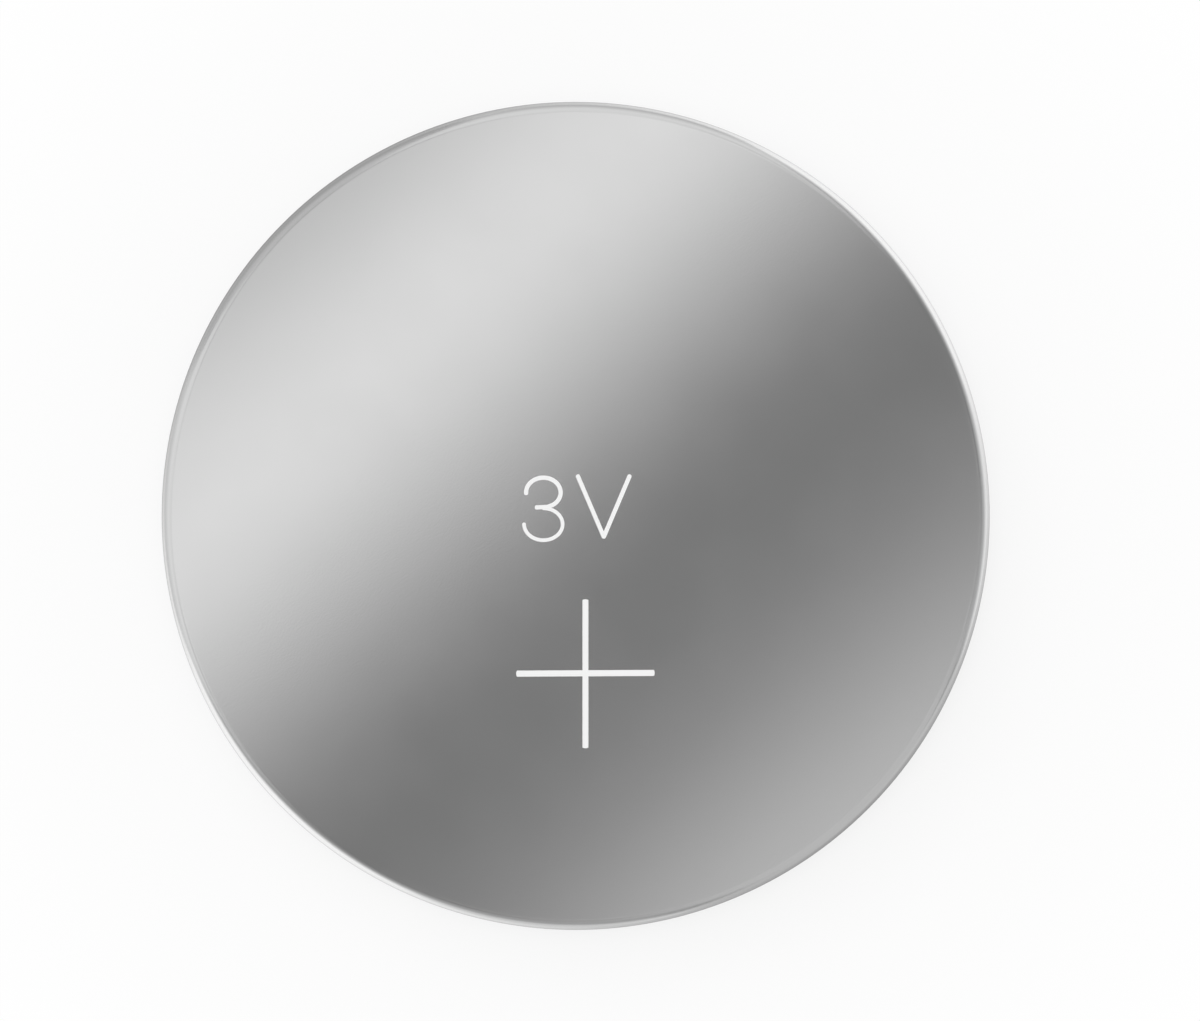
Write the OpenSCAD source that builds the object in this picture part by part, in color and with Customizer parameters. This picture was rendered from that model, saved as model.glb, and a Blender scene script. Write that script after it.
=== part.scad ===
// Lithium coin cell, lying on its negative contact face with the positive face up.
// The origin is the centre of the negative contact face. +Z points up through the stack of layers.
// Sections are drawn in a plane with the radius across and the height up, and are revolved.

/* [Whole cell] */
// Outside diameter of the cell
cell_d = 12.5; // [9:0.1:20]
// Height from the negative contact face to the positive face
cell_h = 2; // [1.8:0.05:3.2]

/* [Positive can] */
// Thickness of the can's sheet
can_sheet = 0.2; // [0.15:0.01:0.28]
// Outside radius of the edge round the positive face
face_edge_r = 0.18; // [0.1:0.01:0.3]
// Inside radius of the same corner
can_corner_r = 0.1; // [0.05:0.01:0.2]
// Length of the flat lip that the crimp ends in
crimp_lip = 0.15; // [0.1:0.01:0.3]
// Radius broken on the cut edges of can and cap
cut_edge_r = 0.05; // [0.02:0.01:0.09]

/* [Sealing gasket] */
// Thickness of the gasket's squeezed wall
seal_t = 0.15; // [0.1:0.01:0.25]
// Thickness of the gasket's foot, which the cap's skirt stands on
foot_t = 0.35; // [0.2:0.01:0.5]
// Thickness of the rim that holds the skirt from inside
rim_t = 0.2; // [0.12:0.01:0.3]
// Depth of the groove that the skirt stands in
groove_depth = 0.25; // [0.15:0.01:0.3]
// Width of the bead squeezed out past the crimp's lip
bead_w = 0.22; // [0.16:0.01:0.3]
// Height of the same bead
bead_h = 0.22; // [0.16:0.01:0.3]

/* [Negative cap] */
// Thickness of the cap's sheet
cap_sheet = 0.2; // [0.15:0.01:0.26]
// How far the contact face stands out past the crimp
contact_proud = 0.1; // [0.06:0.01:0.2]
// Width of the cap's shoulder that shows between the bead and the step
shoulder_show = 0.28; // [0.1:0.01:0.6]
// Inside radius of the corner between shoulder and skirt
cap_corner_r = 0.2; // [0.08:0.01:0.3]

/* [Lithium anode] */
// Room between the lithium disc and the wall of the cap's dish
lithium_room = 0.2; // [0.1:0.01:0.6]

/* [Separator] */
// Thickness of the separator
separator_t = 0.15; // [0.08:0.01:0.25]
// Room between the separator and the line of the gasket's rim
separator_room = 0.15; // [0.1:0.01:0.5]

/* [Cathode pellet] */
// Room between the pellet and the gasket's rim, for swelling
pellet_room = 0.9; // [0.3:0.05:1.4]
// Bevel pressed on the pellet's edges
pellet_bevel = 0.12; // [0.05:0.01:0.25]

/* [Current collector] */
// Thickness of the collector's mesh
collector_t = 0.1; // [0.06:0.01:0.15]
// How far the collector reaches past the pellet
collector_over = 0.25; // [0:0.05:0.5]
// Width of the closed edge round the mesh
collector_rim = 0.3; // [0.2:0.05:0.6]
// Length of one mesh opening, from strand centre to strand centre
mesh_long = 1.5; // [1.4:0.1:2.5]
// Height of one mesh opening, from strand centre to strand centre
mesh_short = 0.75; // [0.7:0.05:1.2]
// Width of a strand between two openings
mesh_strand = 0.16; // [0.1:0.01:0.25]

/* [Hidden] */
$fn = 128;

cell_r = cell_d / 2;

// The cap's shoulder clears the floor by the proud contact, the can's lip and the gasket between them.
shoulder_z = contact_proud + can_sheet + seal_t;
dish_z = shoulder_z + cap_sheet;

// Can, gasket and cap bend round one centre at the crimp, each radius larger by the sheet inside it.
cap_bend_r = cap_corner_r + cap_sheet;
seal_bend_r = cap_bend_r + seal_t;
crimp_r = seal_bend_r + can_sheet;
mouth_r = cell_r - crimp_r - crimp_lip;

// Inside of the can, which is also the outside of the gasket
bore_r = cell_r - can_sheet;
bore_low = contact_proud + can_sheet;
bore_high = cell_h - can_sheet;

// Outside of the cap's skirt, and the gasket's rim within it
skirt_r = bore_r - seal_t;
skirt_high = bore_high - foot_t;
skirt_in_r = skirt_r - cap_sheet;
rim_r = skirt_in_r - rim_t;

// The cap's step is two quarter bends that share the height between contact face and shoulder.
nose_r = (shoulder_z + cap_sheet) / 2;
fillet_r = (shoulder_z - cap_sheet) / 2;
bead_in_r = mouth_r - bead_w;
step_r = bead_in_r - shoulder_show;
contact_r = step_r - fillet_r - nose_r;

// The stack: lithium fills the cap's dish, and the pellet fills what the thin layers leave.
lithium_r = contact_r + nose_r - cap_sheet - lithium_room;
separator_r = rim_r - separator_room;
separator_high = dish_z + separator_t;
pellet_r = rim_r - pellet_room;
pellet_high = bore_high - collector_t;
collector_r = pellet_r + collector_over;

// Quarter of a disc: it starts at the angle from and turns 90 degrees anticlockwise.
module quarter(centre, r, from) {
    translate(centre)
        rotate(from)
            intersection() {
                circle(r);
                square(r);
            }
}

// Quarter of a ring, as a sheet of metal bent round a centre
module bend(centre, outer_r, inner_r, from) {
    difference() {
        quarter(centre, outer_r, from);
        quarter(centre, inner_r, from);
    }
}

// Half section of a round box from the axis out, with a rounded corner at its foot and at its top
module half_section(r, low, high, low_r, high_r) {
    translate([0, low + low_r]) square([r, high - high_r - low - low_r]);
    translate([0, low]) square([r - low_r, low_r]);
    translate([0, high - high_r]) square([r - high_r, high_r]);
    quarter([r - low_r, low + low_r], low_r, -90);
    quarter([r - high_r, high - high_r], high_r, 0);
}

module can_inside() {
    half_section(bore_r, bore_low, bore_high, seal_bend_r, can_corner_r);
}

module cap_outside() {
    half_section(skirt_r, shoulder_z, skirt_high, cap_bend_r, cut_edge_r);
}

// The can's mouth, with the cut edge of the crimp's lip broken on the side that shows
module mouth() {
    square([mouth_r, bore_low]);
    difference() {
        square([mouth_r + cut_edge_r, contact_proud + cut_edge_r]);
        quarter([mouth_r + cut_edge_r, contact_proud + cut_edge_r], cut_edge_r, 180);
    }
}

// Bead of gasket between the crimp's lip and the cap's shoulder, with a round end
module bead() {
    end_r = bead_h / 2;
    end_x = bead_in_r + end_r;
    translate([end_x, shoulder_z - bead_h]) square([mouth_r - end_x, bead_h]);
    quarter([end_x, shoulder_z - end_r], end_r, 90);
    quarter([end_x, shoulder_z - end_r], end_r, 180);
}

// Drawn cup of nickel-plated stainless steel. Its rim is rolled in over the gasket.
module positive_can() {
    color("gainsboro")
        rotate_extrude()
            difference() {
                half_section(cell_r, contact_proud, cell_h, crimp_r, face_edge_r);
                can_inside();
                mouth();
            }
}

// Moulded polypropylene ring, J-shaped in section: bead, wall, foot and rim
module sealing_gasket() {
    color("ivory")
        rotate_extrude() {
            difference() {
                can_inside();
                cap_outside();
                square([mouth_r, shoulder_z]);
                translate([0, shoulder_z]) square([rim_r, bore_high]);
            }
            bead();
            translate([rim_r, skirt_high - groove_depth]) square([rim_t, groove_depth]);
        }
}

// Pressed cap of stainless steel: contact face, step, shoulder, and the skirt that the gasket grips
module negative_cap() {
    color("silver")
        rotate_extrude() {
            square([contact_r, cap_sheet]);
            bend([contact_r, nose_r], nose_r, nose_r - cap_sheet, -90);
            bend([step_r, nose_r], nose_r, fillet_r, 90);
            difference() {
                cap_outside();
                half_section(skirt_in_r, dish_z, cell_h, cap_corner_r, cut_edge_r);
                square([step_r, cell_h]);
            }
        }
}

// Punched disc of lithium foil, pressed into the cap's dish and level with the shoulder's inside
module lithium_anode() {
    color("lightsteelblue")
        translate([0, 0, cap_sheet])
            cylinder(h = dish_z - cap_sheet, r = lithium_r);
}

// Round of non-woven polypropylene on the lithium and the shoulder
module separator() {
    color("white")
        translate([0, 0, dish_z])
            cylinder(h = separator_t, r = separator_r);
}

// Pressed black tablet of manganese dioxide, carbon and binder, bevelled by its die
module cathode_pellet() {
    color("dimgray")
        rotate_extrude()
            polygon([
                [0, separator_high],
                [pellet_r - pellet_bevel, separator_high],
                [pellet_r, separator_high + pellet_bevel],
                [pellet_r, pellet_high - pellet_bevel],
                [pellet_r - pellet_bevel, pellet_high],
                [0, pellet_high]
            ]);
}

// One diamond opening, as far inside its strands' centre lines as half a strand
module mesh_opening() {
    half_long = mesh_long / 2;
    half_short = mesh_short / 2;
    clear = 1 - mesh_strand / 2 * norm([half_long, half_short]) / (half_long * half_short);
    scale(clear)
        polygon([[-half_long, 0], [0, -half_short], [half_long, 0], [0, half_short]]);
}

// Disc of expanded stainless mesh with a closed edge. Every second row stands half an opening along.
module current_collector() {
    open_r = collector_r - collector_rim;
    rows = floor(2 * open_r / mesh_short);
    columns = floor(open_r / mesh_long) + 1;
    color("darkgray")
        translate([0, 0, pellet_high])
            linear_extrude(collector_t)
                difference() {
                    circle(collector_r);
                    for (row = [-rows : rows], column = [-columns : columns]) {
                        x = (column + (row % 2 == 0 ? 0 : 0.5)) * mesh_long;
                        y = row * mesh_short / 2;
                        reach = max(norm([abs(x) + mesh_long / 2, y]), norm([x, abs(y) + mesh_short / 2]));
                        if (reach < open_r) translate([x, y]) mesh_opening();
                    }
                }
}

positive_can();
sealing_gasket();
negative_cap();
lithium_anode();
separator();
cathode_pellet();
current_collector();
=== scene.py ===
import math

import bmesh
import bpy
from mathutils import Matrix, Vector
from mathutils.geometry import delaunay_2d_cdt


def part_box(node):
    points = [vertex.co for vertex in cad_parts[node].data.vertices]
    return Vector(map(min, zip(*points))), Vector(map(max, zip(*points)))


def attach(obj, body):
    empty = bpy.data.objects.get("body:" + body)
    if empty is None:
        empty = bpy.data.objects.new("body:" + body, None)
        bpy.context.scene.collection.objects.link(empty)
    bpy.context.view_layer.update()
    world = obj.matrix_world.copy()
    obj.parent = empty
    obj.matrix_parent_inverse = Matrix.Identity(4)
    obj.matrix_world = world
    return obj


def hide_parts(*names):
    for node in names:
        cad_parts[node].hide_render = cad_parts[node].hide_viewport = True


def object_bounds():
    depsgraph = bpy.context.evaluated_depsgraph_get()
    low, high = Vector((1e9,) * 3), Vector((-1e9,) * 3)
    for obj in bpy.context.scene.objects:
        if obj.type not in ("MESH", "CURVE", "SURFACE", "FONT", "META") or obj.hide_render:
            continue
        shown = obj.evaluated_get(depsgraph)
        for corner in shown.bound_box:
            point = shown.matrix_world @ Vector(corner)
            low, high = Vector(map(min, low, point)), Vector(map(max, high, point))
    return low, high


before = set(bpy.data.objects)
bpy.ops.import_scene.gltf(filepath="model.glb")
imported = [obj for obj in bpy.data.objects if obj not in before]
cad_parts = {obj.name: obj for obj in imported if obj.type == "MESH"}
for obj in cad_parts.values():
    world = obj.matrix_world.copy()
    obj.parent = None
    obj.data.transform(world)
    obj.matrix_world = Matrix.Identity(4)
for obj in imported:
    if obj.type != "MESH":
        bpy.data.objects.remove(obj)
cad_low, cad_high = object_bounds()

MM = 0.001

# The photograph, 1200 by 1021 pixels: where the cell's disc is in it, and how wide
PHOTO_W, PHOTO_H = 1200, 1021
DISC_X, DISC_Y, DISC_W = 575.7, 515.9, 827.8

# Sizes of sheet metal, gasket and pellet in millimetres, as the solids have them
CAN_SHEET = 0.20
CAP_SHEET = 0.20
FACE_EDGE_R = 0.18
CAN_CORNER_R = 0.10
CUT_EDGE_R = 0.05
CAP_CORNER_R = 0.20
SEAL_T = 0.15
CRIMP_LIP = 0.15
FOOT_T = 0.35
RIM_T = 0.20
GROOVE_DEPTH = 0.25
BEAD_W = 0.22
BEAD_H = 0.22
SHOULDER_SHOW = 0.28
PELLET_BEVEL = 0.12

cell_r = cad_high.x / MM
cell_h = cad_high.z / MM
can_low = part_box("positive_can")[0].z / MM

# Radii and heights that follow, as in the solids
bore_r = cell_r - CAN_SHEET
bore_low, bore_high = can_low + CAN_SHEET, cell_h - CAN_SHEET
shoulder_z = bore_low + SEAL_T
cap_bend_r = CAP_CORNER_R + CAP_SHEET
seal_bend_r = cap_bend_r + SEAL_T
crimp_r = seal_bend_r + CAN_SHEET
mouth_r = cell_r - crimp_r - CRIMP_LIP
skirt_r, skirt_high = bore_r - SEAL_T, bore_high - FOOT_T
skirt_in_r = skirt_r - CAP_SHEET
rim_r = skirt_in_r - RIM_T
nose_r, fillet_r = (shoulder_z + CAP_SHEET) / 2, (shoulder_z - CAP_SHEET) / 2
bead_in_r = mouth_r - BEAD_W
step_r = bead_in_r - SHOULDER_SHOW
contact_r = step_r - fillet_r - nose_r


def linear(hex_colour):
    """An sRGB hex colour as linear RGBA."""
    parts = [int(hex_colour[i : i + 2], 16) / 255 for i in (1, 3, 5)]
    return (*[c / 12.92 if c <= 0.04045 else ((c + 0.055) / 1.055) ** 2.4 for c in parts], 1.0)


def add(tree, kind, settings=None, **inputs):
    """A node with its settings and its inputs: values, or nodes or outputs to link.

    _0 names the first input by its number, and an underscore between words is a space.
    """
    made = tree.nodes.new("ShaderNode" + kind)
    for name, value in (settings or {}).items():
        setattr(made, name, value)
    for name, value in inputs.items():
        socket = made.inputs[int(name[1:])] if name[1:].isdigit() else made.inputs[name.replace("_", " ")]
        if isinstance(value, bpy.types.Node):
            value = value.outputs[0]
        if isinstance(value, bpy.types.NodeSocket):
            tree.links.new(value, socket)
        else:
            socket.default_value = value
    return made


SMOOTH = {"interpolation_type": "SMOOTHSTEP"}
TIMES = {"operation": "MULTIPLY"}
FLOAT, COLOUR = {"data_type": "FLOAT"}, {"data_type": "RGBA"}


def new_material(name):
    """An empty material and its tree."""
    material = bpy.data.materials.new(name)
    material.use_nodes = True
    material.node_tree.nodes.clear()
    return material, material.node_tree


def from_axis(tree):
    """How far the place is from the cell's axis, and its direction from there."""
    place = add(tree, "TexCoord").outputs["Object"]
    flat = add(tree, "VectorMath", TIMES, _0=place, _1=(1, 1, 0))
    far = add(tree, "VectorMath", {"operation": "LENGTH"}, _0=flat).outputs["Value"]
    return far, add(tree, "VectorMath", {"operation": "NORMALIZE"}, _0=flat).outputs["Vector"]


def satin_nickel(name, hex_colour, lined_hex_colour, roughness):
    """Nickel plate on drawn stainless sheet: an even satin, with fine lines where it was drawn and rolled.

    The lines run down the wall and round the curl. The real ones are about 0.01 mm apart, too fine to show,
    so they are drawn coarser, 0.04 to 0.05 mm apart. The grain is that of the plate.

    At a slant, real nickel mirrors 12 to 18% less than the shader's plain curve. The tint takes about a fifth
    off, a little more than that, so that the ends of the wall stay darker than white paper.
    """
    line_gap, ring_gap, grain_size, haze_size = 0.05 * MM, 0.04 * MM, 0.03 * MM, 1.2 * MM
    relief_depth, lines_over_grain = 0.0003 * MM, 2.5
    material, tree = new_material(name)
    place = add(tree, "TexCoord").outputs["Object"]
    far, outward = from_axis(tree)
    height = add(tree, "SeparateXYZ", Vector=place).outputs["Z"]
    facing = add(tree, "NewGeometry").outputs["Normal"]
    upward = add(tree, "SeparateXYZ", Vector=facing).outputs["Z"]

    # On the wall the lines depend on the direction from the axis, and on the curl on radius and height.
    unrolled = add(tree, "VectorMath", {"operation": "SCALE"}, _0=outward, Scale=cell_r * MM)
    down = add(tree, "TexNoise", Vector=unrolled, Scale=1 / line_gap, Detail=4.0)
    section = add(tree, "CombineXYZ", X=far, Y=height)
    rings = add(tree, "TexNoise", Vector=section, Scale=1 / ring_gap, Detail=3.0)
    curled = add(tree, "MapRange", SMOOTH, Value=upward, From_Min=-0.1, From_Max=-0.4)
    lines = add(tree, "Mix", FLOAT, Factor=curled, A=down, B=rings)
    below_edge = add(tree, "MapRange", SMOOTH, Value=upward, From_Min=0.45, From_Max=0.1)
    off_flat = add(tree, "MapRange", SMOOTH, Value=upward, From_Min=-0.97, From_Max=-0.8)
    drawn = add(tree, "Math", TIMES, _0=below_edge, _1=off_flat)
    lines = add(tree, "Math", TIMES, _0=lines, _1=drawn)

    grain = add(tree, "TexNoise", Vector=place, Scale=1 / grain_size)
    relief = add(tree, "Math", {"operation": "MULTIPLY_ADD"}, _0=lines, _1=lines_over_grain, _2=grain)
    bump = add(tree, "Bump", Strength=1.0, Distance=relief_depth, Height=relief)
    haze = add(tree, "TexNoise", Vector=place, Scale=1 / haze_size, Detail=3.0)
    rough = add(tree, "MapRange", Value=haze, To_Min=roughness - 0.02, To_Max=roughness + 0.02)
    lined = add(tree, "MapRange", SMOOTH, Value=lines, From_Min=0.35, From_Max=0.7)
    tint = add(tree, "Mix", COLOUR, Factor=lined, _6=linear(hex_colour), _7=linear(lined_hex_colour))
    shader = add(
        tree,
        "BsdfPrincipled",
        Base_Color=tint.outputs[2],
        Metallic=1.0,
        Roughness=rough,
        Specular_Tint=linear("#E6E6E6"),
        Normal=bump,
    )
    add(tree, "OutputMaterial", Surface=shader)
    return material


def milky_polypropylene():
    """Natural polypropylene, moulded and squeezed: milky and slightly clouded, with a dull shine."""
    material, tree = new_material("milky_polypropylene")
    place = add(tree, "TexCoord").outputs["Object"]
    cloud = add(tree, "TexNoise", Vector=place, Scale=1 / (0.4 * MM))
    rough = add(tree, "MapRange", Value=cloud, To_Min=0.38, To_Max=0.52)
    shader = add(
        tree,
        "BsdfPrincipled",
        Base_Color=linear("#DEDDD6"),
        Roughness=rough,
        Subsurface_Weight=0.2,
        Subsurface_Scale=0.1 * MM,
    )
    add(tree, "OutputMaterial", Surface=shader)
    return material


def laser_frost():
    """Laser-marked metal: shots 0.025 mm apart leave a frosted, near-white line with almost no shine."""
    material, tree = new_material("laser_frost")
    place = add(tree, "TexCoord").outputs["Object"]
    shots = add(tree, "TexVoronoi", Vector=place, Scale=1 / (0.025 * MM))
    bump = add(tree, "Bump", Strength=0.2, Distance=0.002 * MM, Height=shots.outputs["Distance"])
    shader = add(
        tree,
        "BsdfPrincipled",
        Base_Color=linear("#F7F7F7"),
        Roughness=0.9,
        Specular_IOR_Level=0.1,
        Normal=bump,
    )
    add(tree, "OutputMaterial", Surface=shader)
    return material


def rolled_lithium():
    """Lithium foil: soft and dull, blotched by tarnish, with lines 0.03 mm apart from the rolls."""
    material, tree = new_material("rolled_lithium")
    place = add(tree, "TexCoord").outputs["Object"]
    stretched = add(tree, "Mapping", Vector=place, Scale=(0.015, 1, 0.015))
    rolled = add(tree, "TexNoise", Vector=stretched, Scale=1 / (0.03 * MM), Detail=3.0)
    blotch = add(tree, "TexNoise", Vector=place, Scale=1 / (0.9 * MM), Detail=4.0)
    bump = add(tree, "Bump", Strength=0.4, Distance=0.002 * MM, Height=rolled)
    tint = add(tree, "Mix", COLOUR, Factor=blotch, _6=linear("#C3C6C8"), _7=linear("#9DA0A3"))
    rough = add(tree, "MapRange", Value=blotch, To_Min=0.38, To_Max=0.60)
    shader = add(
        tree, "BsdfPrincipled", Base_Color=tint.outputs[2], Metallic=1.0, Roughness=rough, Normal=bump
    )
    add(tree, "OutputMaterial", Surface=shader)
    return material


def spun_felt():
    """Non-woven polypropylene: white fibres 0.02 mm thick and about 0.5 mm long lie across each other."""
    fibre = 0.02 * MM
    material, tree = new_material("spun_felt")
    place = add(tree, "TexCoord").outputs["Object"]
    one_way = add(tree, "Mapping", Vector=place, Scale=(0.04, 1, 0.4))
    one_way = add(tree, "TexNoise", Vector=one_way, Scale=1 / fibre, Detail=1.0)
    other_way = add(tree, "Mapping", Vector=place, Scale=(1, 0.04, 0.4))
    other_way = add(tree, "TexNoise", Vector=other_way, Scale=1 / fibre, Detail=1.0)
    fibres = add(tree, "Math", {"operation": "MAXIMUM"}, _0=one_way, _1=other_way)
    bump = add(tree, "Bump", Strength=0.6, Distance=0.01 * MM, Height=fibres)
    tint = add(tree, "Mix", COLOUR, Factor=fibres, _6=linear("#D8D8D3"), _7=linear("#F0F0EC"))
    shader = add(tree, "BsdfPrincipled", Base_Color=tint.outputs[2], Roughness=0.85, Normal=bump)
    add(tree, "OutputMaterial", Surface=shader)
    return material


def pressed_black():
    """Manganese dioxide and carbon, pressed hard: matt black, with grains of 0.04 mm."""
    material, tree = new_material("pressed_black")
    place = add(tree, "TexCoord").outputs["Object"]
    grains = add(tree, "TexVoronoi", Vector=place, Scale=1 / (0.04 * MM)).outputs["Distance"]
    bump = add(tree, "Bump", Strength=0.5, Distance=0.006 * MM, Height=grains)
    tint = add(tree, "Mix", COLOUR, Factor=grains, _6=linear("#1B1B1C"), _7=linear("#2C2C2E"))
    shader = add(tree, "BsdfPrincipled", Base_Color=tint.outputs[2], Roughness=0.8, Normal=bump)
    add(tree, "OutputMaterial", Surface=shader)
    return material


def bare_stainless():
    """Expanded stainless mesh, bare: greyer than the plate, with streaks 0.02 mm wide from slitting."""
    material, tree = new_material("bare_stainless")
    place = add(tree, "TexCoord").outputs["Object"]
    stretched = add(tree, "Mapping", Vector=place, Scale=(0.1, 1, 0.2))
    rub = add(tree, "TexNoise", Vector=stretched, Scale=1 / (0.02 * MM))
    rough = add(tree, "MapRange", Value=rub, To_Min=0.24, To_Max=0.42)
    shader = add(tree, "BsdfPrincipled", Base_Color=linear("#B4B4B2"), Metallic=1.0, Roughness=rough)
    add(tree, "OutputMaterial", Surface=shader)
    return material


TURN_STEPS = 256
BEND_STEPS = 10
SHARP = math.radians(30)

# Points nearer than this, in metres, are one.
TOUCHING = 1e-8

# Where two roundings share a short side, this much of it is left between them, in millimetres.
HAIR = 0.001


def finished(name, mesh, material, node=None):
    """The object of a finished bmesh, riding on the cell. It replaces the node's solid if one is named."""
    data = bpy.data.meshes.new(name)
    mesh.to_mesh(data)
    mesh.free()
    piece = bpy.data.objects.new(name, data)
    bpy.context.scene.collection.objects.link(piece)
    data.materials.append(material)
    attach(piece, "root")
    if node:
        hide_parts(node)
    return piece


def turned(name, corners, material, node):
    """A ring, or a disc whose outline starts and ends on the axis, revolved from corners in millimetres.

    A corner is its radius, its height and the radius that it is rounded to.
    """
    mesh = bmesh.new()
    verts = [mesh.verts.new((r * MM, 0, z * MM)) for r, z, _ in corners]
    for first, second in zip(verts, verts[1:]):
        mesh.edges.new((first, second))
    if corners[0][0] > 0:
        mesh.edges.new((verts[-1], verts[0]))
    for vert, (_, _, corner_r) in zip(verts, corners):
        if corner_r:
            bmesh.ops.bevel(
                mesh,
                geom=[vert],
                offset=corner_r * MM,
                offset_type="OFFSET",
                segments=BEND_STEPS,
                profile=0.5,
                affect="VERTICES",
                material=-1,
            )
    bmesh.ops.spin(
        mesh,
        geom=mesh.verts[:] + mesh.edges[:],
        cent=(0, 0, 0),
        axis=(0, 0, 1),
        angle=math.tau,
        steps=TURN_STEPS,
        use_merge=True,
    )
    bmesh.ops.remove_doubles(mesh, verts=mesh.verts[:], dist=TOUCHING)
    bmesh.ops.recalc_face_normals(mesh, faces=mesh.faces[:])
    for face in mesh.faces:
        face.smooth = True
    for edge in mesh.edges:
        edge.smooth = edge.calc_face_angle(0) < SHARP
    piece = finished(name, mesh, material, node)
    even = piece.modifiers.new("flat faces stay flat", "WEIGHTED_NORMAL")
    even.mode = "FACE_AREA_WITH_ANGLE"
    even.keep_sharp = True
    return piece


# Can
turned(
    "can_shell",
    [
        (0, cell_h, 0),
        (cell_r, cell_h, FACE_EDGE_R),
        (cell_r, can_low, crimp_r),
        (mouth_r, can_low, CUT_EDGE_R),
        (mouth_r, bore_low, 0),
        (bore_r, bore_low, seal_bend_r),
        (bore_r, bore_high, CAN_CORNER_R),
        (0, bore_high, 0),
    ],
    satin_nickel("can_satin_nickel", "#D9D9D9", "#D3D3D2", 0.23),
    "positive_can",
)

# Gasket
turned(
    "gasket_ring",
    [
        (bead_in_r, shoulder_z - BEAD_H, BEAD_H / 2),
        (mouth_r, shoulder_z - BEAD_H, 0),
        (mouth_r, bore_low, 0),
        (bore_r, bore_low, seal_bend_r),
        (bore_r, bore_high, CAN_CORNER_R),
        (rim_r, bore_high, 0),
        (rim_r, skirt_high - GROOVE_DEPTH, 0),
        (skirt_in_r, skirt_high - GROOVE_DEPTH, 0),
        (skirt_in_r, skirt_high, 0),
        (skirt_r, skirt_high, CUT_EDGE_R),
        (skirt_r, shoulder_z, cap_bend_r),
        (bead_in_r, shoulder_z, BEAD_H / 2 - HAIR),
    ],
    milky_polypropylene(),
    "sealing_gasket",
)

# Cap
turned(
    "cap_shell",
    [
        (0, 0, 0),
        (contact_r + nose_r, 0, nose_r),
        (contact_r + nose_r, shoulder_z, fillet_r),
        (skirt_r, shoulder_z, cap_bend_r),
        (skirt_r, skirt_high, CUT_EDGE_R),
        (skirt_in_r, skirt_high, 0),
        (skirt_in_r, shoulder_z + CAP_SHEET, CAP_CORNER_R),
        (contact_r + fillet_r, shoulder_z + CAP_SHEET, nose_r - HAIR),
        (contact_r + fillet_r, CAP_SHEET, fillet_r),
        (0, CAP_SHEET, 0),
    ],
    satin_nickel("cap_satin_nickel", "#D2D2D1", "#CACAC8", 0.20),
    "negative_cap",
)


def disc(name, material, node, corner_r):
    """A plain disc in place of a node's solid, with its edges rounded to corner_r."""
    low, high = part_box(node)
    r, z_low, z_high = high.x / MM, low.z / MM, high.z / MM
    corners = [(0, z_low, 0), (r, z_low, corner_r), (r, z_high, corner_r), (0, z_high, 0)]
    return turned(name, corners, material, node)


# Layers inside. The foil's edge is pressed a little round, which its solid leaves out.
LITHIUM_EDGE_R = 0.03
disc("lithium_disc", rolled_lithium(), "lithium_anode", LITHIUM_EDGE_R)
disc("separator_round", spun_felt(), "separator", 0)
pellet_low, pellet_high = (corner.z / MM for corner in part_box("cathode_pellet"))
pellet_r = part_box("cathode_pellet")[1].x / MM
turned(
    "cathode_tablet",
    [
        (0, pellet_low, 0),
        (pellet_r - PELLET_BEVEL, pellet_low, 0),
        (pellet_r, pellet_low + PELLET_BEVEL, 0),
        (pellet_r, pellet_high - PELLET_BEVEL, 0),
        (pellet_r - PELLET_BEVEL, pellet_high, 0),
        (0, pellet_high, 0),
    ],
    pressed_black(),
    "cathode_pellet",
)
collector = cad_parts["current_collector"]
collector.data.materials.clear()
collector.data.materials.append(bare_stainless())


ARC_STEPS, END_STEPS = 36, 10


def arc(centre, radii, start, end):
    """Points on an elliptic arc from the angle start to the angle end, in degrees."""
    angles = [math.radians(start + (end - start) * i / ARC_STEPS) for i in range(ARC_STEPS + 1)]
    return [(centre[0] + radii[0] * math.cos(a), centre[1] + radii[1] * math.sin(a)) for a in angles]


def stroke(path, width, roundness):
    """The outline of a stroke along a path of points. Its ends bulge by roundness, 1 for half circles."""
    points = [Vector(point) for point in path]
    half = width / 2
    sides = ([], [])
    for i, point in enumerate(points):
        along = (points[min(i + 1, len(points) - 1)] - points[max(i - 1, 0)]).normalized()
        across = Vector((-along.y, along.x)) * half
        sides[0].append(point + across)
        sides[1].append(point - across)
    caps = []
    for point, inner in ((points[-1], points[-2]), (points[0], points[1])):
        along = (point - inner).normalized()
        across = Vector((-along.y, along.x)) * half
        turns = [math.pi * i / END_STEPS for i in range(1, END_STEPS)]
        caps.append([point + across * math.cos(a) + along * (half * roundness * math.sin(a)) for a in turns])
    return sides[0] + caps[0] + sides[1][::-1] + caps[1]


MARK_DEPTH = 0.004
MARK_RISE = 0.002


def mark(name, strokes, material):
    """Strokes on the face, in millimetres from its centre, joined to one inlay a hair proud of the metal."""
    points, outlines = [], []
    for outline in strokes:
        outlines.append(range(len(points), len(points) + len(outline)))
        points.extend(outline)
    verts, _, faces, *_ = delaunay_2d_cdt(points, [], [list(outline) for outline in outlines], 1, 1e-6)
    mesh = bmesh.new()
    made = [mesh.verts.new((x * MM, y * MM, (cell_h - MARK_DEPTH) * MM)) for x, y in verts]
    for face in faces:
        mesh.faces.new([made[i] for i in face])
    raised = bmesh.ops.extrude_face_region(mesh, geom=mesh.faces[:])["geom"]
    raised = [item for item in raised if isinstance(item, bmesh.types.BMVert)]
    bmesh.ops.translate(mesh, verts=raised, vec=(0, 0, (MARK_DEPTH + MARK_RISE) * MM))
    bmesh.ops.recalc_face_normals(mesh, faces=mesh.faces[:])
    return finished(name, mesh, material)


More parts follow.
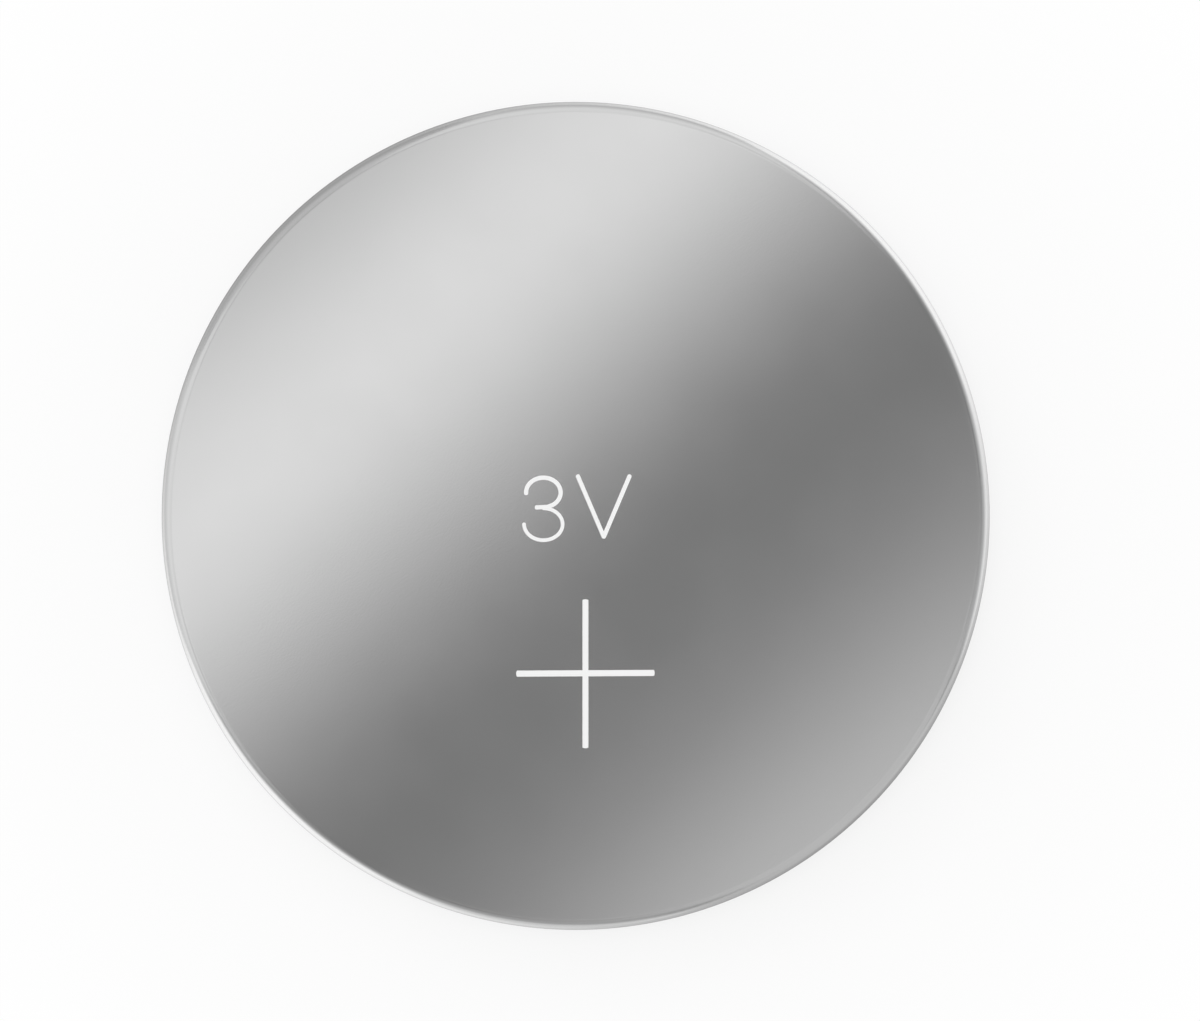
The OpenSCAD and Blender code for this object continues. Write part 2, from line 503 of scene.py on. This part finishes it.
# Marks, with the widths of their strokes: the lower bowl of the 3 is the finest
frost = laser_frost()
FINE, THIN, THICK_ACROSS, THICK_DOWN = 0.055, 0.064, 0.092, 0.089
ROUND_END, BLUNT_END = 0.8, 0.3
V_LEFT, V_FOOT, V_RIGHT = (0.033, 0.60), (0.424, -0.315), (0.812, 0.60)
upper_bowl = arc((-0.485, 0.353), (0.26, 0.223), 184, -58) + [(-0.43, 0.135), (-0.59, 0.128)]
lower_bowl = arc((-0.485, -0.125), (0.29, 0.24), 90, -181)
mark(
    "voltage_mark",
    [
        stroke(upper_bowl, THIN, ROUND_END),
        stroke(lower_bowl, FINE, ROUND_END),
        stroke([V_LEFT, V_FOOT], THIN, ROUND_END),
        stroke([V_FOOT, V_RIGHT], THIN, ROUND_END),
    ],
    frost,
)
mark(
    "polarity_mark",
    [
        stroke([(-0.880, -2.373), (1.175, -2.362)], THICK_ACROSS, BLUNT_END),
        stroke([(0.148, -1.268), (0.148, -3.482)], THICK_DOWN, BLUNT_END),
    ],
    frost,
)

# The camera looks straight down. It is so far from the wall, whose outline begins under the round edge,
# that the outline is as wide as in the photograph.
LENS, SENSOR = 100.0, 36.0
pixel = 2 * cell_r * MM / DISC_W
distance = PHOTO_W * pixel * LENS / SENSOR
camera = bpy.data.objects.new("camera", bpy.data.cameras.new("camera"))
camera.data.lens, camera.data.sensor_width = LENS, SENSOR
camera.data.clip_start, camera.data.clip_end = 0.001, 10.0
camera.location = (
    (PHOTO_W / 2 - DISC_X) * pixel,
    (DISC_Y - PHOTO_H / 2) * pixel,
    (cell_h - FACE_EDGE_R) * MM + distance,
)
bpy.context.scene.collection.objects.link(camera)
bpy.context.scene.camera = camera


def seen_share(tree):
    """1 for what the camera, a mirror or glass sees, 0 for the light that the object receives."""
    path = add(tree, "LightPath").outputs
    seen = add(tree, "Math", {"operation": "MAXIMUM"}, _0=path["Is Camera Ray"], _1=path["Is Glossy Ray"])
    return add(tree, "Math", {"operation": "MAXIMUM"}, _0=seen, _1=path["Is Transmission Ray"])


# World: full white to the eye and in mirrors, dimmer as light on the object
WORLD_LIGHT = 0.6
world = bpy.data.worlds.new("studio")
bpy.context.scene.world = world
world.use_nodes = True
tree = world.node_tree
tree.nodes.clear()
level = add(tree, "MapRange", Value=seen_share(tree), To_Min=WORLD_LIGHT, To_Max=1.0)
white = add(tree, "Background", Color=linear("#FFFFFF"), Strength=level)
add(tree, "OutputWorld", Surface=white)


def staged(name, mesh, material):
    """An object of the studio from a finished bmesh."""
    data = bpy.data.meshes.new(name)
    mesh.to_mesh(data)
    mesh.free()
    made = bpy.data.objects.new(name, data)
    bpy.context.scene.collection.objects.link(made)
    data.materials.append(material)
    return made


# Floor, a hair below the contact face: paper that keeps the shadow near the cell. It turns to plain white
# in two steps, most of it just past the wall and the rest further off.
FLOOR_GAP = 0.005
mesh = bmesh.new()
bmesh.ops.create_grid(mesh, x_segments=1, y_segments=1, size=1.0)
bmesh.ops.translate(mesh, verts=mesh.verts[:], vec=(0, 0, -FLOOR_GAP * MM))
material, tree = new_material("floor_paper")
far, _ = from_axis(tree)
near = add(tree, "MapRange", SMOOTH, Value=far, From_Min=5 * MM, From_Max=6.8 * MM, To_Min=0.2, To_Max=0.84)
white = add(tree, "MapRange", SMOOTH, Value=far, From_Min=6.5 * MM, From_Max=14 * MM, To_Max=0.16)
white = add(tree, "Math", {"operation": "ADD"}, _0=near, _1=white)
white = add(tree, "Math", TIMES, _0=seen_share(tree), _1=white)
paper = add(tree, "BsdfDiffuse", Color=linear("#F2F2F2"))
glow = add(tree, "Emission", Strength=1.0)
add(tree, "OutputMaterial", Surface=add(tree, "MixShader", _0=white, _1=paper, _2=glow))
staged("floor", mesh, material)

# The light tent stands along t, which runs to the photograph's lower right, and across it.
T_ANGLE = -48
DOT = {"operation": "DOT_PRODUCT"}


def only_mirrored(card):
    """A card of the tent shows in shiny surfaces alone, and lights or shades nothing."""
    card.visible_camera = card.visible_diffuse = card.visible_shadow = False


def card(name, direction, top, foot, width, levels, sides=(1.0, 1.0)):
    """A card in a direction from t in degrees, from the radius and height of its top to those of its foot.

    Levels are pairs of a share of the way from top to foot and the light there. Sides scale the light at
    the card's two sides.
    """
    turn = Matrix.Rotation(math.radians(T_ANGLE + direction), 4, "Z")
    top, foot = Vector((top[0], 0, top[1])) * MM, Vector((foot[0], 0, foot[1])) * MM
    mesh = bmesh.new()
    across = Vector((0, width * MM / 2, 0))
    corners = (top - across, foot - across, foot + across, top + across)
    mesh.faces.new([mesh.verts.new(turn @ corner) for corner in corners])
    material, tree = new_material(name)
    place = add(tree, "TexCoord").outputs["Object"]
    slope = foot - top
    way = add(tree, "VectorMath", {"operation": "SUBTRACT"}, _0=place, _1=turn @ top)
    way = add(tree, "VectorMath", DOT, _0=way, _1=turn @ slope / slope.length_squared).outputs["Value"]
    ramp = add(tree, "ValToRGB", Fac=way)
    peak = max(level for _, level in levels)
    stops = ramp.color_ramp.elements
    while len(stops) < len(levels):
        stops.new(1.0)
    for stop, (share, level) in zip(stops, levels):
        stop.position = share
        stop.color = (level / peak, level / peak, level / peak, 1.0)
    over = add(tree, "VectorMath", DOT, _0=place, _1=turn @ across / across.length_squared).outputs["Value"]
    side = add(tree, "MapRange", Value=over, From_Min=-1.0, To_Min=peak * sides[0], To_Max=peak * sides[1])
    add(tree, "OutputMaterial", Surface=add(tree, "Emission", Color=ramp, Strength=side))
    only_mirrored(staged(name, mesh, material))


# The roof has one bright band to the upper left of the axis, and a dark gap beside it.
ROOF_H, ROOF_END, ROOF_W = 24.0, 50.0, 26.0
ROOF = (
    (-50, 0.64),
    (-20, 0.64),
    (-10, 0.44),
    (-7.5, 0.96),
    (-5, 1.3),
    (-2.5, 0.73),
    (0.5, 0.11),
    (5, 0.25),
    (7, 0.50),
    (9, 0.82),
    (12, 0.66),
    (50, 0.68),
)
card(
    "roof",
    0,
    (-ROOF_END, ROOF_H),
    (ROOF_END, ROOF_H),
    ROOF_W,
    [((t + ROOF_END) / (2 * ROOF_END), level) for t, level in ROOF],
)
for side, name in ((90, "up_right"), (-90, "low_left")):
    card("side_" + name, side, (13, 24), (60, 0), 120, [(0, 0.15), (0.25, 0.37), (0.48, 0.98), (1, 1.25)])
    card("box_" + name, side, (30, 8), (33, 0), 28, [(0, 1.2), (1, 1.4)])
card("corner_up", 132, (11, 23), (30, 0), 18, [(0, 0.92), (0.45, 0.93), (0.7, 0.66), (1, 0.60)])
card("corner_left", -132, (11, 23), (30, 0), 18, [(0, 0.90), (0.4, 0.97), (0.7, 0.80), (1, 0.70)])
card("shoulder_up", 106, (12.5, 18), (23, 18), 8, [(0, 0.70), (1, 0.74)])
card("shoulder_left", -103, (12.5, 18), (23, 18), 8, [(0, 0.60), (1, 0.64)])
card("shoulder_right", 48, (11.5, 23.5), (20, 23.5), 10, [(0, 0.38), (1, 0.45)])
card("shoulder_down", -48, (11.5, 23.5), (20, 23.5), 10, [(0, 0.34), (1, 0.50)])
card("corner_right", 48, (20, 23), (40, 0), 20, [(0, 0.46), (0.3, 0.56), (0.6, 0.97), (1, 1.2)])
card("corner_down", -48, (20, 23), (40, 0), 20, [(0, 0.48), (0.3, 0.42), (0.6, 0.81), (1, 0.86)])
card("end_up_left", 180, (40, 24), (40, 0), 40, [(0, 0.64), (1, 0.46)], sides=(0.85, 1.08))
card("end_low_right", 0, (40, 24), (40, 0), 40, [(0, 0.66), (1, 0.66)], sides=(0.92, 1.08))

# Ground round the cell, as the metal sees it: dimmer along t than across it, and dimmer close to the cell, a
# painted contact shadow that the metal mirrors
GROUND_IN, GROUND_OUT, GROUND_H, GROUND_STEPS = 5.0, 40.0, 0.05, 64
mesh = bmesh.new()
angles = [math.tau * i / GROUND_STEPS for i in range(GROUND_STEPS)]
inner, outer = (
    [mesh.verts.new((r * MM * math.cos(a), r * MM * math.sin(a), GROUND_H * MM)) for a in angles]
    for r in (GROUND_IN, GROUND_OUT)
)
for i in range(GROUND_STEPS):
    mesh.faces.new((inner[i - 1], outer[i - 1], outer[i], inner[i]))
material, tree = new_material("ground")
far, outward = from_axis(tree)
t_axis = Vector((math.cos(math.radians(T_ANGLE)), math.sin(math.radians(T_ANGLE)), 0))
along = add(tree, "VectorMath", DOT, _0=outward, _1=t_axis).outputs["Value"]
along = add(tree, "Math", TIMES, _0=along, _1=along)
across_t = add(
    tree, "MapRange", SMOOTH, Value=far, From_Min=6.6 * MM, From_Max=8.2 * MM, To_Min=0.75, To_Max=1.32
)
along_t = add(tree, "MapRange", SMOOTH, Value=far, From_Min=6 * MM, From_Max=8 * MM, To_Min=0.3, To_Max=0.5)
level = add(tree, "Mix", FLOAT, Factor=along, A=across_t, B=along_t)
# Painted shadow: the mirrored ground's light falls off towards the cell, where the cell's own shadow would be
painted_contact_shadow = add(tree, "MapRange", SMOOTH, Value=far, From_Min=5.6 * MM, From_Max=7.4 * MM, To_Min=0.35)
level = add(tree, "Math", TIMES, _0=level, _1=painted_contact_shadow)
add(tree, "OutputMaterial", Surface=add(tree, "Emission", Strength=level))
only_mirrored(staged("ground", mesh, material))

# Key light: soft, from the upper left. The tent takes its place in the metal.
KEY_SIZE, KEY_H, KEY_BACK, KEY_LEVEL = 120.0, 120.0, 40.0, 1.7
light = bpy.data.lights.new("key", "AREA")
light.shape, light.size = "SQUARE", KEY_SIZE * MM
light.energy = KEY_LEVEL * math.pi * (KEY_SIZE * MM) ** 2
key = bpy.data.objects.new("key", light)
key.location = t_axis * (-KEY_BACK * MM) + Vector((0, 0, KEY_H * MM))
key.rotation_euler = key.location.to_track_quat("Z", "Y").to_euler()
key.visible_camera = key.visible_glossy = False
bpy.context.scene.collection.objects.link(key)

bpy.context.scene.view_settings.view_transform = "Standard"
